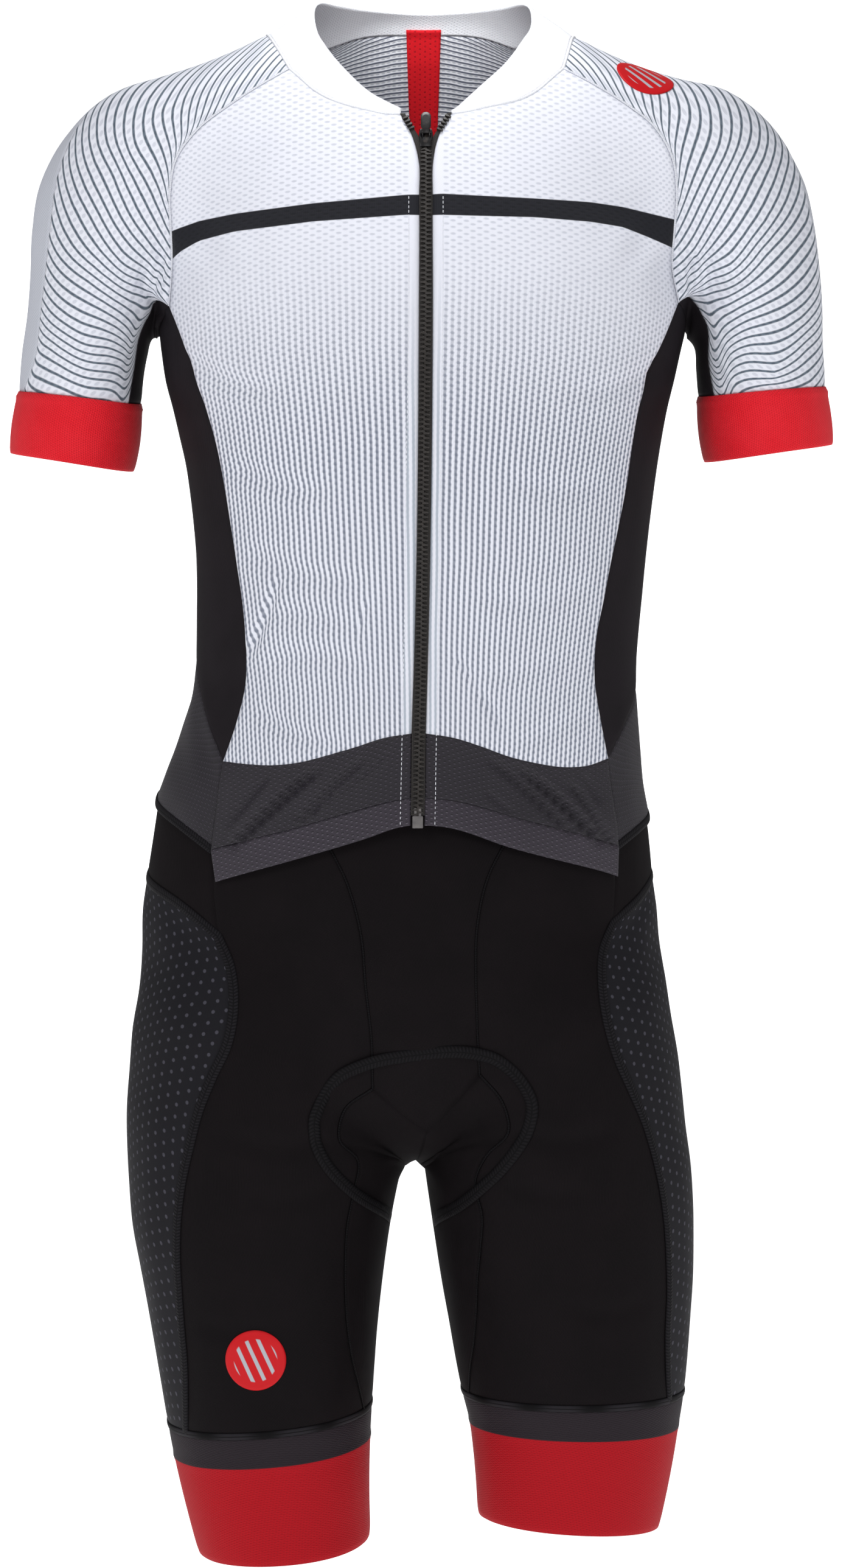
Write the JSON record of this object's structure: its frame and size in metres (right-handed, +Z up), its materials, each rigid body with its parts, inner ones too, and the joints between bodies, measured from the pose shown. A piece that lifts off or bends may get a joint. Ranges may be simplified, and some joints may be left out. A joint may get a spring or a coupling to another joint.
{
  "type": "speed suit",
  "caption": "One-piece cycling speed suit in its worn form: zipped short-sleeved jersey with an open front flap, sewn to shorts with leg grippers.",
  "frame": {"origin": "on the centre line, at the height of the wearer's shoulders, which hold the garment up", "axes": "+Z up, -Y the garment's front, +X to the right as seen from the front"},
  "size_m": [0.5225, 0.2362, 0.9826],
  "materials": {
    "white_mesh": "fine matt polyester mesh",
    "striped_knit": "matt knit printed with fine stripes",
    "dark_knit": "matt stretch knit",
    "dark_mesh": "matt open-hole mesh",
    "black_knit": "dense warp knit with a slight sheen",
    "dotted_knit": "dense knit with raised dots",
    "red_knit": "pique knit",
    "red_gripper": "elastic gripper knit",
    "red_print": "smooth heat-applied patch",
    "zip_tape": "woven tape with moulded teeth",
    "zip_metal": "dark lacquer"
  },
  "bodies": {
    "garment": {"back_mesh": "dark_mesh", "back_panel": "white_mesh", "collar": "white_mesh", "cuff_left": "red_knit", "cuff_right": "red_knit", "front_hem_left": "dark_mesh", "front_hem_right": "dark_mesh", "front_left": "white_mesh", "front_right": "white_mesh", "hem_band_left": "dark_mesh", "hem_band_right": "dark_mesh", "inner_leg_left": "black_knit", "inner_leg_right": "black_knit", "leg_band_left": "red_gripper", "leg_band_right": "red_gripper", "neck_strip": "red_knit", "patch_shoulder": "red_print", "patch_thigh": "red_print", "shorts_back_left": "black_knit", "shorts_back_right": "black_knit", "shorts_front": "black_knit", "side_panel_left": "dark_knit", "side_panel_right": "dark_knit", "sleeve_back_left": "white_mesh", "sleeve_back_right": "white_mesh", "sleeve_left": "striped_knit", "sleeve_right": "striped_knit", "thigh_front_left": "black_knit", "thigh_front_right": "black_knit", "thigh_side_left": "dotted_knit", "thigh_side_right": "dotted_knit", "underarm_left": "dark_knit", "underarm_right": "dark_knit", "waist_side_left": "black_knit", "waist_side_right": "black_knit", "zip_box": "zip_metal", "zip_left": "zip_tape", "zip_right": "zip_tape", "zip_slider": "zip_metal"},
    "zip_pull": {"zip_pull": "zip_metal"}
  },
  "joints": [
    {"name": "zip_pull_hinge", "type": "hinge", "parent": "garment", "child": "zip_pull", "pos_m": [0.00299, -0.08978, -0.05588], "axis": [1, 0, 0], "range_deg": [0, 170]}
  ]
}
